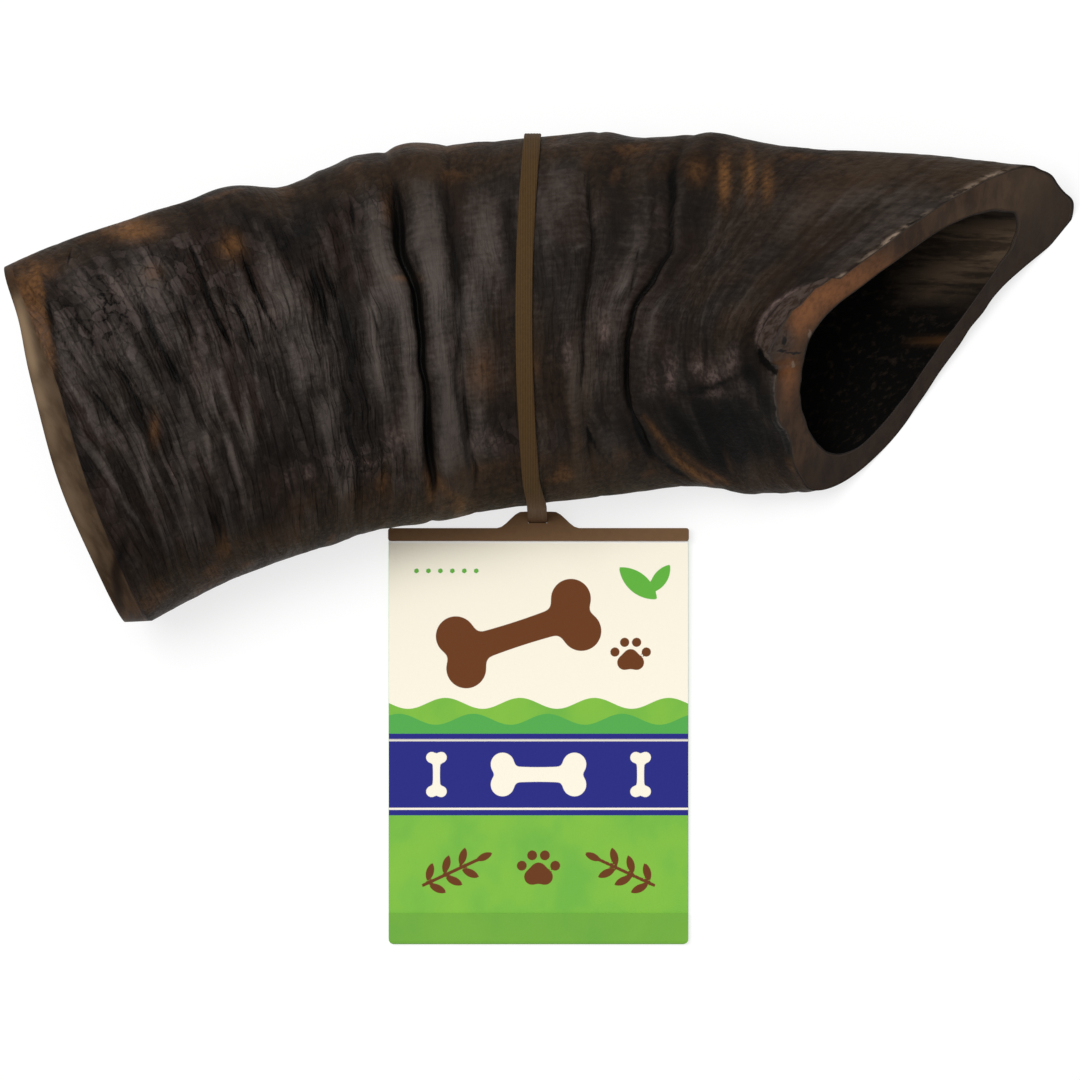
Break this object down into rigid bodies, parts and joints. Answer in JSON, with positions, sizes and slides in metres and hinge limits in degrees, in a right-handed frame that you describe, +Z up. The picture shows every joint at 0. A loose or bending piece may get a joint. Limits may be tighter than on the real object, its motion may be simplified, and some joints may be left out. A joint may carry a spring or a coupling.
{
  "type": "goat horn dog chew",
  "caption": "Sawn piece of hollow ringed goat horn, lying on its side, with an elastic strap round it and a folded card tag.",
  "frame": {"origin": "centre of the bounding box in X and Y, on the surface the chew lies on", "axes": "+X from the base cut to the slanted mouth, +Y to the keel of the horn's bend, away from the tag, +Z up from the surface the chew lies on"},
  "size_m": [0.2142, 0.1623, 0.0476],
  "materials": {
    "horn": "satin",
    "strap": "matte",
    "header_strip": "satin",
    "card": "matte"
  },
  "bodies": {
    "root": {"horn": "horn", "strap": "strap", "header_strip": "header_strip", "card": "card"}
  },
  "joints": []
}
